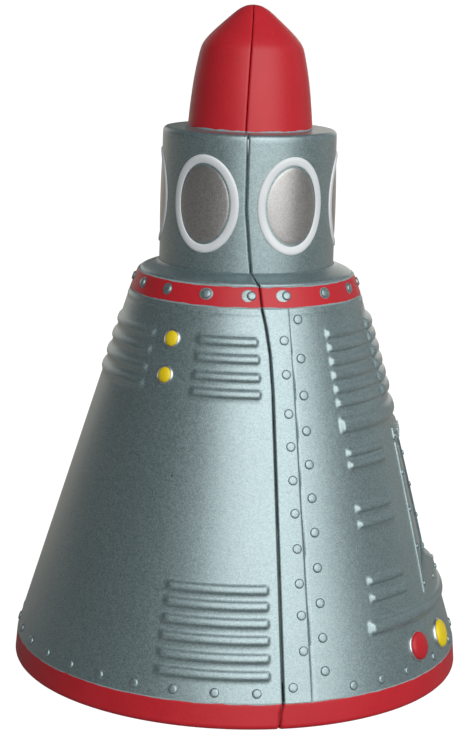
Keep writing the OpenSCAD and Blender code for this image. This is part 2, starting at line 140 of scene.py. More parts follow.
def turned(bm, profile, steps):
    """A full turn of a profile about Z."""
    bmesh.ops.spin(bm, geom=chain(bm, profile), cent=(0, 0, 0), axis=(0, 0, 1), dvec=(0, 0, 0),
                   angle=2 * math.pi, steps=steps, space=Matrix.Identity(4), use_merge=True,
                   use_normal_flip=False, use_duplicate=False)
    bmesh.ops.remove_doubles(bm, verts=bm.verts[:], dist=SAME_POINT)


def part_turned(profile, from_az, to_az, steps, crowd=0.7):
    """Part of a turn of a closed profile, capped at both ends, its columns crowded towards them."""
    bm = bmesh.new()
    start = chain(bm, profile)
    bmesh.ops.contextual_create(bm, geom=start)
    sweep = math.radians(to_az - from_az)
    swept = bmesh.ops.spin(bm, geom=start, cent=(0, 0, 0), axis=(0, 0, 1), dvec=(0, 0, 0), angle=sweep,
                           steps=steps, space=Matrix.Identity(4), use_merge=False, use_normal_flip=False,
                           use_duplicate=False)
    bmesh.ops.contextual_create(bm, geom=swept["geom_last"])
    for v in bm.verts:
        r = math.hypot(v.co.x, v.co.y)
        u = math.atan2(v.co.y, v.co.x) / sweep
        if u < -1e-4:
            u += 2 * math.pi / sweep
        u = min(1.0, max(0.0, u))
        a = sweep * (u - crowd * math.sin(2 * math.pi * u) / (2 * math.pi)) + math.radians(from_az - 90)
        v.co.x, v.co.y = r * math.cos(a), r * math.sin(a)
    bmesh.ops.remove_doubles(bm, verts=bm.verts[:], dist=SAME_POINT)
    return bm


def rows(low, high, coarse, fine_spans, fine=0.2):
    """Heights from low to high, close together inside the given spans."""
    heights = []
    z = low
    while z < high - 1e-6:
        heights.append(z)
        inside = any(a - 1e-6 <= z < b for a, b in fine_spans)
        step = fine if inside else coarse
        nxt = z + step
        if not inside:
            for a, b in fine_spans:
                if z < a < nxt:
                    nxt = a
        z = nxt
    heights.append(high)
    return heights


def polar(v):
    """Azimuth in degrees, 0 towards -Y and rising towards +X, and radius of a vertex."""
    return math.degrees(math.atan2(v.co.x, -v.co.y)), math.hypot(v.co.x, v.co.y)


def set_polar(v, az, r):
    v.co.x = r * math.sin(math.radians(az))
    v.co.y = -r * math.cos(math.radians(az))


def wrap(az, centre):
    """The same azimuth, as the value within half a turn of a centre."""
    return centre + (az - centre + 180) % 360 - 180


def straight(z):
    """The line of a seam that doesn't stray."""
    return 0.0


def part_edges(bm, from_az, to_az, from_line, to_line, outside, gap=0.09, depth=0.3):
    """Moves both ends of a part turn onto their seam lines, a gap apart, and rolls their outer edges in.

    outside(r, z) says which points are on the outer face, and depth is how far the edge rolls in.
    """
    span = to_az - from_az
    for v in bm.verts:
        az, r = polar(v)
        z = v.co.z
        if r < 0.02:
            continue
        az = wrap(az, from_az + span / 2)
        t = (az - from_az) / span
        near = t < 0.5
        u = t if near else 1 - t
        dist = math.radians(u * span) * r
        shift = (from_line(z) if near else to_line(z)) * (1 - ramp(u, 0.0, 0.1))
        tuck = min(12.0, math.degrees(gap / r)) * (1 - ramp(dist, 0.0, 4 * EDGE_ROLL))
        if outside(r, z) and dist < EDGE_ROLL:
            k = 1 - dist / EDGE_ROLL
            r -= depth * (1 - math.sqrt(max(0.0, 1 - k * k)))
        set_polar(v, az + shift + (tuck if near else -tuck), r)


def rib_rise(az, z, rib):
    """How far a pressed rib lifts the wall at this azimuth and height."""
    a0, a1, zc, width, height = rib
    r = cone_r(zc)
    across = (z - zc) / (width / 2)
    if abs(across) >= 1:
        return 0.0
    end = min(az - a0, a1 - az) * math.pi / 180 * r
    if end < -0.3:
        return 0.0
    body = (1 - abs(across) ** 2.6) ** 0.7
    tip = ramp(end, -0.2, 0.6)
    return height * body * tip


# ---- Where the louvres and rivets sit -----------------------------------------------------------
LEFT_MID = CONE_SEAM - 90
UPPER = [52.9, 50.5, 48.0, 45.7]
LOWER = [19.2, 17.0, 14.7, 12.4, 10.0, 7.7]
HOOD = [53.6 - i * 1.95 for i in range(6)]


def rib_row(a0, a1, heights, width=1.3, height=0.37):
    return [(a0, a1, z, width, height) for z in heights]


left_ribs = (rib_row(LEFT_MID - 35, LEFT_MID + 35, UPPER)
             + rib_row(LEFT_MID + 57, LEFT_MID + 85.5, UPPER)
             + rib_row(LEFT_MID - 85.5, LEFT_MID - 57, UPPER)
             + rib_row(LEFT_MID + 58, LEFT_MID + 87, LOWER, 1.4)
             + rib_row(LEFT_MID - 87, LEFT_MID - 58, LOWER, 1.4))
right_ribs = []
for side in (-1, 1):
    def span(near, far, side=side):
        return (HOOD_AZ - far, HOOD_AZ - near) if side < 0 else (HOOD_AZ + near, HOOD_AZ + far)
    right_ribs += rib_row(*span(13.5, 45), HOOD, 1.4, 0.34)
    right_ribs += rib_row(*span(23, 44), [36.8, 35.1], 1.2, 0.40)
    right_ribs += rib_row(*span(26, 44), [29.0, 26.8], 1.2, 0.40)
    right_ribs += rib_row(*span(28, 44), [18.9, 16.5], 1.3, 0.40)
right_ribs += rib_row(HOOD_AZ - 12, HOOD_AZ + 12, HOOD, 1.95, 0.68)
right_ribs += rib_row(HOOD_AZ - 45, HOOD_AZ + 45, [40.7], 2.3, 0.55)
right_ribs += rib_row(HOOD_AZ - 46, HOOD_AZ + 46, [12.5], 2.0, 0.6)
right_ribs += rib_row(HOOD_AZ + 55, HOOD_AZ + 87, UPPER)
right_ribs += rib_row(HOOD_AZ + 55, HOOD_AZ + 87, LOWER, 1.4)


def spans_of(ribs):
    """The heights that ribs take up, merged where they meet."""
    levels = sorted({(rib[2] - rib[3] / 2 - 0.15, rib[2] + rib[3] / 2 + 0.15) for rib in ribs})
    merged = []
    for low, high in levels:
        if merged and low <= merged[-1][1] + 0.3:
            merged[-1] = (merged[-1][0], max(high, merged[-1][1]))
        else:
            merged.append((low, high))
    return merged


# ---- Materials ----------------------------------------------------------------------------------
def new_material(name):
    m = bpy.data.materials.new(name)
    m.use_nodes = True
    nt = m.node_tree
    shader = nt.nodes["Principled BSDF"]
    coords = nt.nodes.new("ShaderNodeTexCoord")
    return m, nt, shader, coords.outputs["Object"]


def noise(nt, source, scale, detail=2.0, rough=0.5):
    n = nt.nodes.new("ShaderNodeTexNoise")
    n.inputs["Scale"].default_value = scale
    n.inputs["Detail"].default_value = detail
    n.inputs["Roughness"].default_value = rough
    nt.links.new(source, n.inputs["Vector"])
    return n.outputs["Fac"]


def cells(nt, source, scale, output="Color"):
    n = nt.nodes.new("ShaderNodeTexVoronoi")
    n.inputs["Scale"].default_value = scale
    nt.links.new(source, n.inputs["Vector"])
    return n.outputs[output]


def mapped(nt, value, from_min, from_max, to_min, to_max):
    n = nt.nodes.new("ShaderNodeMapRange")
    nt.links.new(value, n.inputs["Value"])
    for key, v in (("From Min", from_min), ("From Max", from_max), ("To Min", to_min), ("To Max", to_max)):
        n.inputs[key].default_value = v
    return n.outputs["Result"]


def mixed(nt, fac, a, b):
    """A blend of two colours, each a tuple or another node's output."""
    n = nt.nodes.new("ShaderNodeMix")
    n.data_type = "RGBA"
    nt.links.new(fac, n.inputs["Factor"])
    for socket, value in ((n.inputs[6], a), (n.inputs[7], b)):
        if isinstance(value, tuple):
            socket.default_value = value + (1.0,)
        else:
            nt.links.new(value, socket)
    return n.outputs[2]


def math_node(nt, operation, a, b):
    """A sum or product of two values, each a number or another node's output."""
    n = nt.nodes.new("ShaderNodeMath")
    n.operation = operation
    for socket, value in ((n.inputs[0], a), (n.inputs[1], b)):
        if isinstance(value, float):
            socket.default_value = value
        else:
            nt.links.new(value, socket)
    return n.outputs[0]


def bump(nt, shader, height, strength, distance):
    n = nt.nodes.new("ShaderNodeBump")
    n.inputs["Strength"].default_value = strength
    n.inputs["Distance"].default_value = distance
    nt.links.new(height, n.inputs["Height"])
    nt.links.new(n.outputs["Normal"], shader.inputs["Normal"])


def single(nt, color):
    """One number from a colour, from its red channel."""
    n = nt.nodes.new("ShaderNodeSeparateColor")
    nt.links.new(color, n.inputs["Color"])
    return n.outputs["Red"]


def flake_paint(name, dark, light, flake_scale, metallic, roughness, pits=True):
    """Metallic paint: fine bright and dark flakes in a slightly uneven coat, with a few pinholes drawn as
    near-black dots of painted shade.
    """
    m, nt, shader, where = new_material(name)
    shader.inputs["Metallic"].default_value = metallic
    shader.inputs["Coat Weight"].default_value = 0.8
    shader.inputs["Coat Roughness"].default_value = 0.42
    shader.inputs["Coat IOR"].default_value = 1.95
    flakes = single(nt, cells(nt, where, flake_scale))
    fine = noise(nt, where, flake_scale * 0.9, 2.0, 0.6)
    broad = noise(nt, where, 90.0, 3.0, 0.6)
    blend = math_node(nt, "MULTIPLY_ADD", flakes, 0.5)
    nt.links.new(mapped(nt, fine, 0.3, 0.7, 0.0, 0.5), blend.node.inputs[2])
    color = mixed(nt, blend, dark, light)
    shade = mapped(nt, broad, 0.3, 0.7, 0.0, 0.12)
    color = mixed(nt, shade, color, tuple(c * 0.8 for c in dark))
    if pits:
        # Painted shade: the pinholes are not cut into the surface; near-black dots stand for the shade inside
        # them.
        holes = cells(nt, where, 260.0, "Distance")
        pinhole_shade = mapped(nt, holes, 0.022, 0.05, 1.0, 0.0)
        chance = mapped(nt, noise(nt, where, 160.0, 1.0), 0.6, 0.64, 0.0, 1.0)
        pinhole_shade = math_node(nt, "MULTIPLY", pinhole_shade, chance)
        color = mixed(nt, pinhole_shade, color, tuple(c * 0.15 for c in dark))
    nt.links.new(color, shader.inputs["Base Color"])
    rough = mapped(nt, flakes, 0.0, 1.0, roughness - 0.06, roughness + 0.06)
    nt.links.new(rough, shader.inputs["Roughness"])
    bump(nt, shader, fine, 0.16, 0.00006)
    return m


GREY_DARK = (0.076, 0.136, 0.151)
GREY_LIGHT = (0.298, 0.405, 0.424)
SILVER_DARK = (0.22, 0.22, 0.22)
SILVER_LIGHT = (0.46, 0.46, 0.455)
paint_grey = flake_paint("satin_grey_paint", GREY_DARK, GREY_LIGHT, 6600.0, 0.74, 0.46)
paint_silver = flake_paint("silver_pane_paint", SILVER_DARK, SILVER_LIGHT, 6800.0, 0.92, 0.38, pits=False)


RED_DEEP = (0.400, 0.008, 0.016)
RED_MID = (0.450, 0.013, 0.022)
RED_PALE = (0.48, 0.025, 0.036)
WORN_GREY = (0.22, 0.30, 0.32)


def red_paint(name, edges, wave_mm=0.1):
    """Semi-matte red over grey, worn to the grey beyond wavy edges.

    Each edge is (height, True if the paint is worn above it, False if below).
    """
    m, nt, shader, where = new_material(name)
    broad = noise(nt, where, 120.0, 3.0)
    fine = noise(nt, where, 2600.0, 2.0)
    color = mixed(nt, mapped(nt, broad, 0.3, 0.7, 0.0, 1.0), RED_DEEP, RED_MID)
    color = mixed(nt, mapped(nt, fine, 0.35, 0.75, 0.0, 0.3), color, RED_PALE)
    if edges:
        split = nt.nodes.new("ShaderNodeSeparateXYZ")
        nt.links.new(where, split.inputs["Vector"])
        wave = mapped(nt, noise(nt, where, 420.0, 3.0, 0.6), 0.25, 0.75, -wave_mm * MM, wave_mm * MM)
        level = math_node(nt, "ADD", split.outputs["Z"], wave)
        for z, upward in edges:
            low, high = (z * MM - 0.00003, z * MM + 0.00003)
            bare = mapped(nt, level, low, high, *((0.0, 1.0) if upward else (1.0, 0.0)))
            color = mixed(nt, bare, color, WORN_GREY)
    nt.links.new(color, shader.inputs["Base Color"])
    shader.inputs["Specular IOR Level"].default_value = 0.38
    nt.links.new(mapped(nt, fine, 0.2, 0.8, 0.42, 0.54), shader.inputs["Roughness"])
    bump(nt, shader, fine, 0.10, 0.00005)
    return m


nose_red = red_paint("red_nose_paint", [(82.1, False)], 0.18)
band_red = red_paint("red_band_paint", [(60.35, True), (57.62, False)])
rim_red = red_paint("red_rim_paint", [(3.82, True)])
lamp_red = red_paint("red_lamp_paint", [])


def plain_paint(name, low, high, roughness):
    """Semi-matte paint that drifts between two close colours."""
    m, nt, shader, where = new_material(name)
    broad = noise(nt, where, 150.0, 3.0)
    fine = noise(nt, where, 2400.0, 2.0)
    color = mixed(nt, mapped(nt, broad, 0.3, 0.7, 0.0, 1.0), low, high)
    nt.links.new(color, shader.inputs["Base Color"])
    nt.links.new(mapped(nt, fine, 0.2, 0.8, roughness - 0.05, roughness + 0.05), shader.inputs["Roughness"])
    bump(nt, shader, fine, 0.08, 0.00004)
    return m


lamp_yellow = plain_paint("yellow_lamp_paint", (0.62, 0.46, 0.001), (0.72, 0.56, 0.002), 0.5)
bezel_white = plain_paint("white_ring_paint", (0.53, 0.565, 0.59), (0.61, 0.645, 0.67), 0.4)


def bare_metal(name, low, high, roughness=0.32):
    """Unpainted sheet, clouded between two greys."""
    m, nt, shader, where = new_material(name)
    shader.inputs["Metallic"].default_value = 1.0
    broad = noise(nt, where, 700.0, 4.0)
    color = mixed(nt, mapped(nt, broad, 0.3, 0.7, 0.0, 1.0), low, high)
    nt.links.new(color, shader.inputs["Base Color"])
    nt.links.new(mapped(nt, broad, 0.25, 0.75, roughness - 0.08, roughness + 0.1), shader.inputs["Roughness"])
    bump(nt, shader, broad, 0.15, 0.00004)
    return m


bright_metal = bare_metal("bright_lamp_metal", (0.36, 0.41, 0.42), (0.56, 0.60, 0.61), 0.36)
# Painted shade: the sheet inside the shell, seen through the seam gaps, is made almost black to stand for the
# shade in there.
inside_metal_painted_shade = bare_metal("inside_sheet_painted_shade", (0.06, 0.07, 0.075), (0.12, 0.13, 0.135))


# ---- Cone ---------------------------------------------------------------------------------------
def cone_line(z):
    """How far the front seam strays from its azimuth where the cone meets the collar."""
    return along(z, [(46.0, 0.0), (51.0, -0.6), (55.0, -2.2), (57.4, -3.9), (60.5, -5.0), (61.8, -8.6)])


def strip_edge(z):
    """Azimuth of the lap strip's free edge, measured from the seam."""
    return along(z, [(4.0, 7.1), (31.0, 7.9), (57.0, 9.3)])


def groove(az, edge):
    """A fine scored line in the wall beside a strip's edge."""
    return 0.16 * max(0.0, 1 - abs(az - edge) / 0.45)


def cone_half(ribs, from_az, from_line, to_line):
    """Half of the cone's wall and shoulder, with its pressed ribs, and a scored line beside each strip."""
    heights = rows(RIM_H, CONE_TOP_Z, 1.2, spans_of(ribs) + [(56.4, 57.3)], 0.2)
    neck = CONE_TOP_R - 0.3
    wall = SHEET / math.cos(LEAN)
    outer = [(SKIRT_R, 0.6), (SKIRT_R, RIM_H - 0.15)] + [(cone_r(z), z) for z in heights]
    shoulder = [(neck, CONE_TOP_Z + 0.03), (COLLAR_TOP_R - 0.3, COLLAR_TOP_Z - 0.05),
                (COLLAR_TOP_R - 0.36, COLLAR_TOP_Z + 0.2), (15.55, 60.93), (15.0, 61.16), (14.4, 61.36),
                (13.85, 61.56), (13.45, 61.74), (DRUM_R + 0.15, 61.95)]
    inner = [(DRUM_R + 0.15, DRUM_FOOT_Z - 0.5), (14.6, 60.75), (neck - 0.5, CONE_TOP_Z),
             (cone_r(45) - wall, 45.0), (cone_r(30) - wall, 30.0), (cone_r(15) - wall, 15.0),
             (cone_r(RIM_H + 0.4) - wall, RIM_H + 0.4), (SKIRT_R - 0.45, RIM_H - 0.3),
             (SKIRT_R - 0.45, 0.6)]
    to_az = from_az + 180
    bm = part_turned(outer + shoulder + inner, from_az, to_az, 300, 0.5)
    for v in bm.verts:
        az, r = polar(v)
        z = v.co.z
        if z <= RIM_H + 0.01 or z >= CONE_TOP_Z - 0.01 or r < cone_r(z) - 0.2:
            continue
        az = wrap(az, from_az + 90)
        lift = max([rib_rise(az, z, rib) for rib in ribs])
        lift = max(lift, 0.10 * max(0.0, 1 - abs(z - 56.75) / 0.35))
        if from_az == CONE_SEAM:
            lift -= groove(az, CONE_SEAM + strip_edge(z) + 0.45)
            lift -= groove(az, CONE_SEAM + 180 - strip_edge(z) - 0.45)
        set_polar(v, az, r + lift)
    part_edges(bm, from_az, to_az, from_line, to_line,
               lambda r, z: z > RIM_H - 0.05 and (z > CONE_TOP_Z - 0.01 or r > cone_r(z) - 0.3))
    return bm


def hatch_place():
    """The hatch's own frame: X out of the door, Y across it and Z up its slope."""
    return (Matrix.Rotation(math.radians(HATCH_AZ - 90), 4, "Z")
            @ Matrix.Translation((HATCH_FOOT_D, 0, HATCH_FOOT_Z))
            @ Matrix.Rotation(math.radians(-HATCH_LEAN), 4, "Y"))


def hatch_corners(grow):
    """The hatch's outline as (Y, Z) corners in its own frame, grown on every side."""
    low, high = -grow, HATCH_LEN + grow
    low_w = HATCH_FOOT_W - low * HATCH_TAPER + grow
    high_w = HATCH_FOOT_W - high * HATCH_TAPER + grow
    return [(-low_w, low), (low_w, low), (high_w, high), (-high_w, high)]


def cut_hatchway(piece):
    """Cuts the hatch frame's opening through the shell."""
    bm = bmesh.new()
    corners = [bm.verts.new((-6.0, y, z)) for y, z in hatch_corners(FRAME_W - 0.02)]
    face = bm.faces.new(corners)
    grown = bmesh.ops.extrude_face_region(bm, geom=[face])
    far_corners = [g for g in grown["geom"] if isinstance(g, bmesh.types.BMVert)]
    bmesh.ops.translate(bm, vec=(18.0, 0, 0), verts=far_corners)
    bmesh.ops.recalc_face_normals(bm, faces=bm.faces[:])
    bmesh.ops.transform(bm, matrix=Matrix.Scale(MM, 4) @ hatch_place(), verts=bm.verts[:])
    mesh = bpy.data.meshes.new("hatchway")
    bm.to_mesh(mesh)
    bm.free()
    cutter = bpy.data.objects.new("hatchway", mesh)
    bpy.context.scene.collection.objects.link(cutter)
    cut = piece.modifiers.new("hatchway", "BOOLEAN")
    cut.operation = "DIFFERENCE"
    cut.solver = "EXACT"
    cut.object = cutter
    graph = bpy.context.evaluated_depsgraph_get()
    done = bpy.data.meshes.new_from_object(piece.evaluated_get(graph))
    piece.modifiers.clear()
    piece.data = done
    bpy.data.objects.remove(cutter)


shell_left = keep("shell_left", cone_half(left_ribs, CONE_SEAM - 180, straight, cone_line), "capsule",
                  paint_grey, ["cone_left"], 50)
shell_right = keep("shell_right", cone_half(right_ribs, CONE_SEAM, cone_line, straight), "capsule",
                   paint_grey, ["cone_right"], 50)
cut_hatchway(shell_right)


def lap_strip(side):
    """A thin strip on the right half beside a seam, with a soft free edge."""
    heights = [RIM_H + i * (CONE_TOP_Z - RIM_H) / 40 for i in range(41)]
    lift = 0.19
    outer = [(cone_r(z) + lift, z) for z in heights]
    inner = [(cone_r(z) - 0.05, z) for z in reversed(heights)]
    span = 8.4
    from_az = CONE_SEAM if side > 0 else CONE_SEAM + 180 - span
    bm = part_turned(outer + inner, from_az, from_az + span, 30, 0.6)
    for v in bm.verts:
        az, r = polar(v)
        az = wrap(az, from_az + span / 2)
        z = v.co.z
        top = r > cone_r(z) + 0.08
        t = (az - from_az) / span
        t = t if side > 0 else 1 - t
        reach = (strip_edge(z) - (cone_line(z) if side > 0 else 0.0)) * t
        start = cone_line(z) if side > 0 else 0.0
        gap = math.degrees(0.09 / r) * (1 - ramp(t, 0.0, 0.3))
        new_az = CONE_SEAM + start + reach + gap if side > 0 else CONE_SEAM + 180 - reach - gap
        if top:
            d_seam = t * strip_edge(z) * math.pi / 180 * r
            d_free = (1 - t) * strip_edge(z) * math.pi / 180 * r
            if d_free < 0.3:
                r -= 0.17 * (1 - math.sqrt(max(0.0, 1 - (1 - d_free / 0.3) ** 2)))
            if d_seam < 0.34:
                r -= 0.16 * (1 - math.sqrt(max(0.0, 1 - (1 - d_seam / 0.34) ** 2)))
        set_polar(v, new_az, r)
    return bm


keep("lap_front", lap_strip(1), "capsule", paint_grey, ["lap_strip_front"], 50)
keep("lap_back", lap_strip(-1), "capsule", paint_grey, ["lap_strip_back"], 50)


def band_half(profile, from_az, from_line, to_line, r_outside, depth=0.22):
    """Half of a painted band, with r_outside(z) the radius beyond which its edge is rolled in."""
    bm = part_turned(profile, from_az, from_az + 180, 120)
    part_edges(bm, from_az, from_az + 180, from_line, to_line, lambda r, z: r > r_outside(z), depth=depth)
    return bm


def spread(p, q, n):
    """Points from p towards q, q left out."""
    return [(p[0] + (q[0] - p[0]) * i / n, p[1] + (q[1] - p[1]) * i / n) for i in range(n)]


def collar_profile():
    low, high = CONE_TOP_Z, COLLAR_TOP_Z
    face_low = (collar_r(low + 0.15) + 0.02, low + 0.15)
    face_high = (collar_r(high - 0.2) + 0.02, high - 0.2)
    return ([(collar_r(low) - 0.3, low), (collar_r(low) - 0.06, low)] + spread(face_low, face_high, 10)
            + [face_high, (collar_r(high) - 0.08, high), (collar_r(high) - 0.3, high)])


for name, from_az, lines in (("left", CONE_SEAM - 180, (straight, cone_line)),
                             ("right", CONE_SEAM, (cone_line, straight))):
    keep("collar_" + name, band_half(collar_profile(), from_az, *lines, lambda z: collar_r(z) - 0.12),
         "capsule", band_red, ["collar_band_" + name], 50)


def rim_profile():
    foot = [(FOOT_R - 0.75 + 0.75 * math.sin(math.radians(a)), 0.75 - 0.75 * math.cos(math.radians(a)))
            for a in (0, 18, 36, 54, 72, 90)]
    side = spread((FOOT_R - 0.02, 0.95), (CONE_FOOT_R + 0.02, RIM_H - 0.15), 8)
    return ([(SKIRT_R - 1.3, 0.0)] + foot + side
            + [(CONE_FOOT_R + 0.02, RIM_H - 0.15), (CONE_FOOT_R - 0.08, RIM_H), (SKIRT_R, RIM_H),
               (SKIRT_R, 0.5), (SKIRT_R - 1.3, 0.5)])


def rim_line(z):
    """How far the seam strays on the rim."""
    return along(z, [(0.0, -0.9), (2.5, -0.7), (4.0, 0.0)])


for name, from_az, lines in (("left", CONE_SEAM - 180, (straight, rim_line)),
                             ("right", CONE_SEAM, (rim_line, straight))):
    keep("rim_" + name, band_half(rim_profile(), from_az, *lines, lambda z: FOOT_R - 1.2, 0.3), "capsule",
         rim_red, ["rim_band_" + name], 50)


# ---- Drum and nose ------------------------------------------------------------------------------
def drum_line(z):
    """How far the front seam strays on the drum."""
    return along(z, [(61.8, 2.1), (65.2, 0.4), (67.8, -0.7), (71.0, -2.2), (81.9, -2.2)])


def nose_line(z):
    """How far the front seam strays on the nose."""
    return along(z, [(81.9, -1.0), (90.0, 0.5), (100.0, 3.0)])


def drum_profile():
    side = spread((13.18, DRUM_FOOT_Z - 0.6), (12.98, 81.2), 40)
    top = [(12.98, 81.2), (12.93, 81.45), (12.78, 81.68), (12.55, 81.83), (12.2, DRUM_TOP_Z)]
    top += spread((12.0, DRUM_TOP_Z), (NOSE_R + 0.02, DRUM_TOP_Z), 6)
    return ([(12.6, 60.8), (14.7, 60.05), (14.7, 60.4)] + side + top
            + [(NOSE_R + 0.02, DRUM_TOP_Z), (NOSE_R + 0.02, 81.45), (12.3, 81.4), (12.6, 81.1)])


def curve_through(points, n):
    """A smooth curve through the points, with n steps between each two."""
    out = []
    for i in range(len(points) - 1):
        p0 = points[max(0, i - 1)]
        p1, p2 = points[i], points[i + 1]
        p3 = points[min(len(points) - 1, i + 2)]
        for k in range(n):
            t = k / n
            out.append(tuple(0.5 * (2 * b + (c - a) * t + (2 * a - 5 * b + 4 * c - d) * t * t
                                    + (3 * b - a - 3 * c + d) * t ** 3)
                             for a, b, c, d in zip(p0, p1, p2, p3)))
    out.append(points[-1])
    return out


NOSE_INSIDE = [(82.0, 8.8), (87.5, 8.3), (92.6, 7.0), (95.0, 5.7), (99.2, 0.0)]


def nose_profile():
    outer = curve_through([(9.3, 81.9), (9.26, 82.6), (9.1, 84.5), (8.92, 86.2), (8.7, 88.0), (8.44, 89.7),
                           (8.1, 91.5), (7.72, 93.2), (7.38, 94.1), (6.75, 94.98), (5.9, 95.9), (4.9, 96.85),
                           (3.9, 97.75), (3.0, 98.55), (2.1, 99.25), (1.2, 99.72), (0.5, 99.88),
                           (0.0, 99.92)], 3)
    return ([(8.8, 81.0), (10.6, 81.0), (10.6, 81.38), (9.28, 81.4)] + outer
            + [(r, z) for z, r in reversed(NOSE_INSIDE)])


for name, turn in (("left", -180), ("right", 0)):
    lines = (straight, drum_line) if turn else (drum_line, straight)
    bm = part_turned(drum_profile(), DRUM_SEAM + turn, DRUM_SEAM + turn + 180, 160)
    part_edges(bm, DRUM_SEAM + turn, DRUM_SEAM + turn + 180, *lines,
               lambda r, z: r > 12.85 and z > 61.2 or z > 81.6, gap=0.07)
    keep("drum_shell_" + name, bm, "capsule", paint_grey, ["drum_" + name], 50)
    lines = (straight, nose_line) if turn else (nose_line, straight)
    bm = part_turned(nose_profile(), NOSE_SEAM + turn, NOSE_SEAM + turn + 180, 140)
    part_edges(bm, NOSE_SEAM + turn, NOSE_SEAM + turn + 180, *lines,
               lambda r, z: z > 81.85 and r > along(z, NOSE_INSIDE) + 0.15, gap=0.05, depth=0.22)
    keep("nose_shell_" + name, bm, "capsule", nose_red, ["nose_" + name], 50)


# ---- Portholes ----------------------------------------------------------------------------------
def onto_drum(bm, az0, base_r, oval=True):
    """Bends a flat piece made about Z onto the drum as an oval.

    An oval ring's radius is measured from the pane's edge, at 10. A disc's runs from 0 to 1 at the edge.
    """
    for v in bm.verts:
        rho = math.hypot(v.co.x, v.co.y)
        a = math.atan2(v.co.y, v.co.x)
        h = v.co.z
        grow = rho - 10.0 if oval else 0.0
        part = 1.0 if oval else rho
        u = (PANE_HALF_W + grow) * math.cos(a) * part
        w = (PANE_HALF_H + grow) * math.sin(a) * part
        v.co.z = PORTHOLE_Z + w
        taper = base_r - 0.01 * w
        set_polar(v, az0 + math.degrees(u / base_r), taper + h)


RING = [(9.98, -0.5), (9.98, 0.0), (10.04, 0.07), (10.2, 0.12), (10.45, 0.16), (10.75, 0.19), (11.0, 0.18),
        (11.16, 0.11), (11.25, 0.0), (11.28, -0.2), (10.9, -0.5)]
LENS = ([(0.0, 0.1)] + [(k / 12, 0.1 - 0.1 * (k / 12) ** 2) for k in range(1, 12)]
        + [(0.985, -0.04), (1.0, -0.12), (1.0, -0.35), (0.0, -0.35)])
for i in range(6):
    az0 = (i + 0.5) * 60
    bm = bmesh.new()
    turned(bm, RING, 72)
    onto_drum(bm, az0, DRUM_R - 0.02)
    keep("porthole_ring_%d" % (i + 1), bm, "capsule", bezel_white,
         ["porthole_bezel_%d" % (i + 1)], 60)
    bm = bmesh.new()
    turned(bm, LENS, 64)
    onto_drum(bm, az0, DRUM_R - 0.02, oval=False)
    keep("porthole_lens_%d" % (i + 1), bm, "capsule", paint_silver,
         ["porthole_pane_%d" % (i + 1)], 60)


# ---- Rivets and lamps ---------------------------------------------------------------------------
def wall_place(az, radius, z, lean):
    """Where a small turned piece stands on the wall, with its own Z out of the wall."""
    return (Matrix.Rotation(math.radians(az - 90), 4, "Z") @ Matrix.Translation((radius, 0, z))
            @ Matrix.Rotation(math.pi / 2 - lean, 4, "Y"))


def add_turned(bm, profile, place, steps, squash=(1.0, 1.0)):
    """Adds a small turned piece to bm at a place."""
    one = bmesh.new()
    turned(one, profile, steps)
    bmesh.ops.scale(one, vec=(squash[0], squash[1], 1.0), verts=one.verts[:])
    bmesh.ops.recalc_face_normals(one, faces=one.faces[:])
    bmesh.ops.transform(one, matrix=place, verts=one.verts[:])
    mesh = bpy.data.meshes.new("one")
    one.to_mesh(mesh)
    one.free()
    bm.from_mesh(mesh)
    bpy.data.meshes.remove(mesh)


def head(r, h):
    """The profile of a domed rivet head."""
    return [(0.0, h), (0.45 * r, 0.97 * h), (0.74 * r, 0.88 * h), (0.9 * r, 0.66 * h), (0.98 * r, 0.3 * h),
            (1.0 * r, 0.0), (1.0 * r, -0.2), (0.0, -0.2)]


def rivets(name, spots, r, h, nodes):
    """spots are (azimuth, wall radius, height, lean)."""
    bm = bmesh.new()
    for az, wall, z, lean in spots:
        add_turned(bm, head(r, h), wall_place(az, wall, z, lean), 16)
    keep(name, bm, "capsule", paint_grey, nodes, 60)


OUTER_Z = [55.9, 50.5, 45.4, 40.5, 35.9, 31.3, 26.6, 21.8, 17.0, 12.3, 7.8]
STRIP_Z = [53.1, 48.4, 43.0, 38.5, 33.9, 29.4, 24.6, 19.9, 15.6, 10.8]


def outer_rivet_away(z):
    """How far round from the seam the outer column of rivets runs."""
    return along(z, [(8, 11.1), (40, 12.2), (56, 13.2)])


def seam_spots(side):
    """Rivets beside a seam: one at its foot, a column on the lap strip and a column beyond it."""
    seam = CONE_SEAM if side > 0 else CONE_SEAM + 180
    out = [(seam + side * 2.4, cone_r(6.0) + 0.12, 6.0, LEAN)]
    out += [(seam + side * 5.6, cone_r(z) + 0.15, z, LEAN) for z in STRIP_Z]
    out += [(seam + side * outer_rivet_away(z), cone_r(z) + 0.03, z, LEAN) for z in OUTER_Z]
    return out


rivets("seam_heads_front", seam_spots(1), 0.72, 0.22, ["seam_rivets_front"])
rivets("seam_heads_back", seam_spots(-1), 0.72, 0.22, ["seam_rivets_back"])
foot_az = [CONE_SEAM - 6.5 - i * FOOT_RIVET_PITCH for i in range(16)]
foot_az += [HOOD_AZ + away for away in (-53.4, -44.6, -35, -21.5, -7, 7, 14.7, 29.2, 43.6, 53.4)]
foot_az += [HOOD_AZ + 53.4 + i * FOOT_RIVET_PITCH for i in range(1, 5)]
foot_spots = [(az, cone_r(FOOT_RIVET_Z), FOOT_RIVET_Z, LEAN) for az in foot_az]
rivets("foot_heads", foot_spots, 0.7, 0.26, ["foot_rivets"])

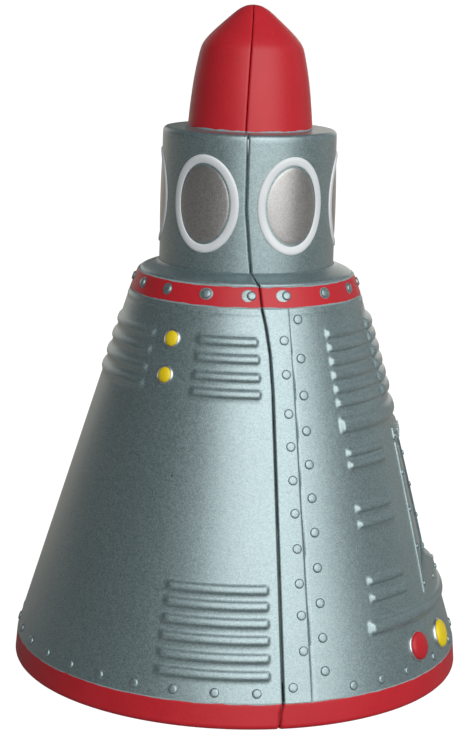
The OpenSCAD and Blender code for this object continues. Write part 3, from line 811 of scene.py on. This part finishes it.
COLLAR_LEAN = math.atan((CONE_TOP_R - COLLAR_TOP_R) / (COLLAR_TOP_Z - CONE_TOP_Z))
PATCH = [(0.0, 0.055), (0.8, 0.05), (0.92, 0.02), (0.92, -0.15), (0.0, -0.15)]
collar_az = [CONE_SEAM - 9 - i * COLLAR_RIVET_PITCH for i in range(8)]
collar_az += [CONE_SEAM + 8.6 + i * COLLAR_RIVET_PITCH for i in range(8)]
bm = bmesh.new()
for k, az in enumerate(collar_az):
    wall = collar_r(COLLAR_RIVET_Z)
    add_turned(bm, head(0.7, 0.34), wall_place(az, wall, COLLAR_RIVET_Z, COLLAR_LEAN), 20)
    # bare patch of the wall beside the head, where the band's paint was kept off
    away = -0.5 if k % 8 == 0 else 0.22 * math.sin(2.3 * k + 1.0)
    patch_place = wall_place(az + math.degrees(away / 16.4), wall, COLLAR_RIVET_Z, COLLAR_LEAN)
    add_turned(bm, PATCH, patch_place, 20, (0.96, 1.0 + 0.16 * math.sin(1.7 * k)))
keep("collar_heads", bm, "capsule", paint_grey, ["collar_rivets"], 60)

seats = bmesh.new()


def lamps(name, spots, r, h, material, nodes):
    """Domed lamps at (azimuth, height) spots, each with a ring that is added to the seats."""
    bm = bmesh.new()
    for az, z in spots:
        place = wall_place(az, cone_r(z), z, LEAN)
        cap = [(0.0, h), (0.35 * r, h - 0.03), (0.65 * r, h - 0.12), (0.85 * r, h - 0.26),
               (0.97 * r, h - 0.46), (1.0 * r, 0.12), (0.98 * r, -0.1), (0.0, -0.1)]
        add_turned(bm, cap, place, 32)
        ring = [(r - 0.3, 0.1), (r - 0.05, 0.22), (r + 0.06, 0.25), (r + 0.16, 0.2), (r + 0.26, 0.06),
                (r + 0.3, -0.15), (r - 0.3, -0.15)]
        ring_az = az - math.degrees(0.14 / cone_r(z))
        add_turned(seats, ring, wall_place(ring_az, cone_r(z), z, LEAN), 32)
    keep(name, bm, "capsule", material, nodes, 60)


small_spots = [(LEFT_MID + s * 45, z) for s in (-1, 1) for z in (52.5, 47.4)]
red_spots = [(HOOD_AZ + away, RED_LAMP_Z) for away in (-28.3, 36.3)]
yellow_spots = [(HOOD_AZ + away, YELLOW_LAMP_Z) for away in (-14.2, 22.2)]
lamps("lamps_small", small_spots, SMALL_LAMP_R, 0.62, lamp_yellow, ["small_lamps"])
lamps("lamps_red", red_spots, LARGE_LAMP_R, 0.85, lamp_red, ["large_lamps_red"])
lamps("lamps_yellow", yellow_spots, LARGE_LAMP_R, 0.85, lamp_yellow, ["large_lamps_yellow"])
keep("lamp_rings", seats, "capsule", bright_metal, ["lamp_seats"], 60)


# ---- Hatch --------------------------------------------------------------------------------------
frame_spots = []
for s in (-1, 1):
    for i in range(5):
        w = i * (HATCH_LEN - 0.6) / 4 + 0.3
        frame_spots.append((s * (HATCH_FOOT_W - w * HATCH_TAPER + FRAME_W / 2), w))
frame_spots += [(y, -FRAME_W / 2) for y in (-5.0, 0.0, 5.0)]
spots = []
lean = math.radians(HATCH_LEAN)
for y, w in frame_spots:
    out = math.sqrt((cone_r(HATCH_FOOT_Z + w) + FRAME_PROUD) ** 2 - y * y) - HATCH_FOOT_D
    z = HATCH_FOOT_Z + (w + out * math.sin(lean)) / math.cos(lean)
    reach = cone_r(z) + FRAME_PROUD
    spots.append((HATCH_AZ + math.degrees(math.asin(y / reach)), reach, z, LEAN))
rivets("frame_heads", spots, 0.42, 0.26, ["hatch_frame_rivets"])


def soften(node, width, material):
    """Gives a CAD node a finish and takes the sharpness off its edges."""
    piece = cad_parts[node]
    piece.data.materials.clear()
    piece.data.materials.append(material)
    weld = piece.modifiers.new("weld", "WELD")
    weld.merge_threshold = 0.000002
    if width:
        edge = piece.modifiers.new("edge", "BEVEL")
        edge.width = width * MM
        edge.segments = 2
        edge.limit_method = "ANGLE"
        edge.angle_limit = math.radians(32)
        edge.harden_normals = False
        even = piece.modifiers.new("even", "WEIGHTED_NORMAL")
        even.mode = "FACE_AREA"
        even.weight = 100


soften("hatch_frame", 0.09, paint_grey)
soften("hatch_door", 0.09, paint_grey)
soften("hatch_pin", 0.0, bright_metal)
soften("base_plate", 0.0, paint_grey)
# The seam straps take the near-black inside finish, which is painted shade for the dark inside seen through
# the seam gaps.
soften("seam_strap_front", 0.0, inside_metal_painted_shade)
soften("seam_strap_back", 0.0, inside_metal_painted_shade)


# ---- Floor, light and camera --------------------------------------------------------------------
FLOOR_SEEN = (0.98, 0.98, 0.975)
FLOOR_SHEEN_FRONT = (0.11, 0.105, 0.10)
FLOOR_SHEEN_BEHIND = (0.31, 0.265, 0.22)


def pale_floor():
    """A floor that is almost white to the camera, and dimmer where the capsule reflects it."""
    bm = bmesh.new()
    bmesh.ops.create_grid(bm, x_segments=2, y_segments=2, size=12.0)
    mesh = bpy.data.meshes.new("floor")
    bm.to_mesh(mesh)
    bm.free()
    m, nt, shader, where = new_material("pale_floor")
    shader.inputs["Base Color"].default_value = (0.2, 0.2, 0.2, 1)
    shader.inputs["Roughness"].default_value = 0.9
    shader.inputs["Specular IOR Level"].default_value = 0.1
    path = nt.nodes.new("ShaderNodeLightPath")
    split = nt.nodes.new("ShaderNodeSeparateXYZ")
    nt.links.new(where, split.inputs["Vector"])
    behind = mapped(nt, split.outputs["Y"], 0.0, 0.12, 0.0, 1.0)
    sheen = mixed(nt, behind, FLOOR_SHEEN_FRONT, FLOOR_SHEEN_BEHIND)
    glow = mixed(nt, path.outputs["Is Camera Ray"], sheen, FLOOR_SEEN)
    nt.links.new(glow, shader.inputs["Emission Color"])
    shader.inputs["Emission Strength"].default_value = 1.0
    mesh.materials.append(m)
    floor = bpy.data.objects.new("floor", mesh)
    floor.visible_diffuse = False
    bpy.context.scene.collection.objects.link(floor)


AIM = Vector((0, 0, 0.05))


def soft_light(name, az, elevation, distance, size, power, color):
    """A rectangular area light that looks at the capsule's middle from an azimuth, with 0 towards -Y."""
    lamp = bpy.data.lights.new(name, "AREA")
    lamp.shape = "RECTANGLE"
    lamp.size, lamp.size_y = size
    lamp.energy = power
    lamp.color = color
    o = bpy.data.objects.new(name, lamp)
    a, e = math.radians(az), math.radians(elevation)
    away = Vector((math.sin(a) * math.cos(e), -math.cos(a) * math.cos(e), math.sin(e)))
    o.location = AIM + away * distance
    o.rotation_euler = (AIM - o.location).to_track_quat("-Z", "Y").to_euler()
    bpy.context.scene.collection.objects.link(o)


pale_floor()
world = bpy.data.worlds.new("studio")
world.use_nodes = True
world.node_tree.nodes["Background"].inputs["Color"].default_value = (0.96, 0.98, 1.0, 1)
world.node_tree.nodes["Background"].inputs["Strength"].default_value = 0.12
bpy.context.scene.world = world
soft_light("key", 22, 24, 0.9, (1.25, 1.1), 15.0, (1.0, 0.985, 0.965))
soft_light("fill_right", 118, 20, 1.1, (0.6, 0.9), 0.75, (0.94, 0.98, 1.0))
soft_light("back_left", -150, 8, 1.2, (0.6, 0.7), 1.3, (1.0, 0.95, 0.88))
soft_light("back_right", 165, 8, 1.2, (0.6, 0.7), 1.8, (1.0, 0.94, 0.86))

CAMERA_AT = (-0.000875, -0.3010, 0.10712)
CAMERA_PITCH = 11.83      # degrees down from level
CAMERA_ROLL = 1.68
LENS_MM = 96.4176

eye = bpy.data.cameras.new("camera")
eye.sensor_width = 36.0
eye.sensor_fit = "AUTO"
eye.lens = LENS_MM
eye.clip_start = 0.01
camera = bpy.data.objects.new("camera", eye)
pitch, roll = math.radians(CAMERA_PITCH), math.radians(CAMERA_ROLL)
ahead = Vector((0, math.cos(pitch), -math.sin(pitch)))
level, rise = Vector((1, 0, 0)), Vector((0, math.sin(pitch), math.cos(pitch)))
right = level * math.cos(roll) + rise * math.sin(roll)
up = rise * math.cos(roll) - level * math.sin(roll)
camera.matrix_world = Matrix((
    (right.x, up.x, -ahead.x, CAMERA_AT[0]), (right.y, up.y, -ahead.y, CAMERA_AT[1]),
    (right.z, up.z, -ahead.z, CAMERA_AT[2]), (0, 0, 0, 1)))
bpy.context.scene.collection.objects.link(camera)
bpy.context.scene.camera = camera
bpy.context.scene.view_settings.view_transform = "Standard"
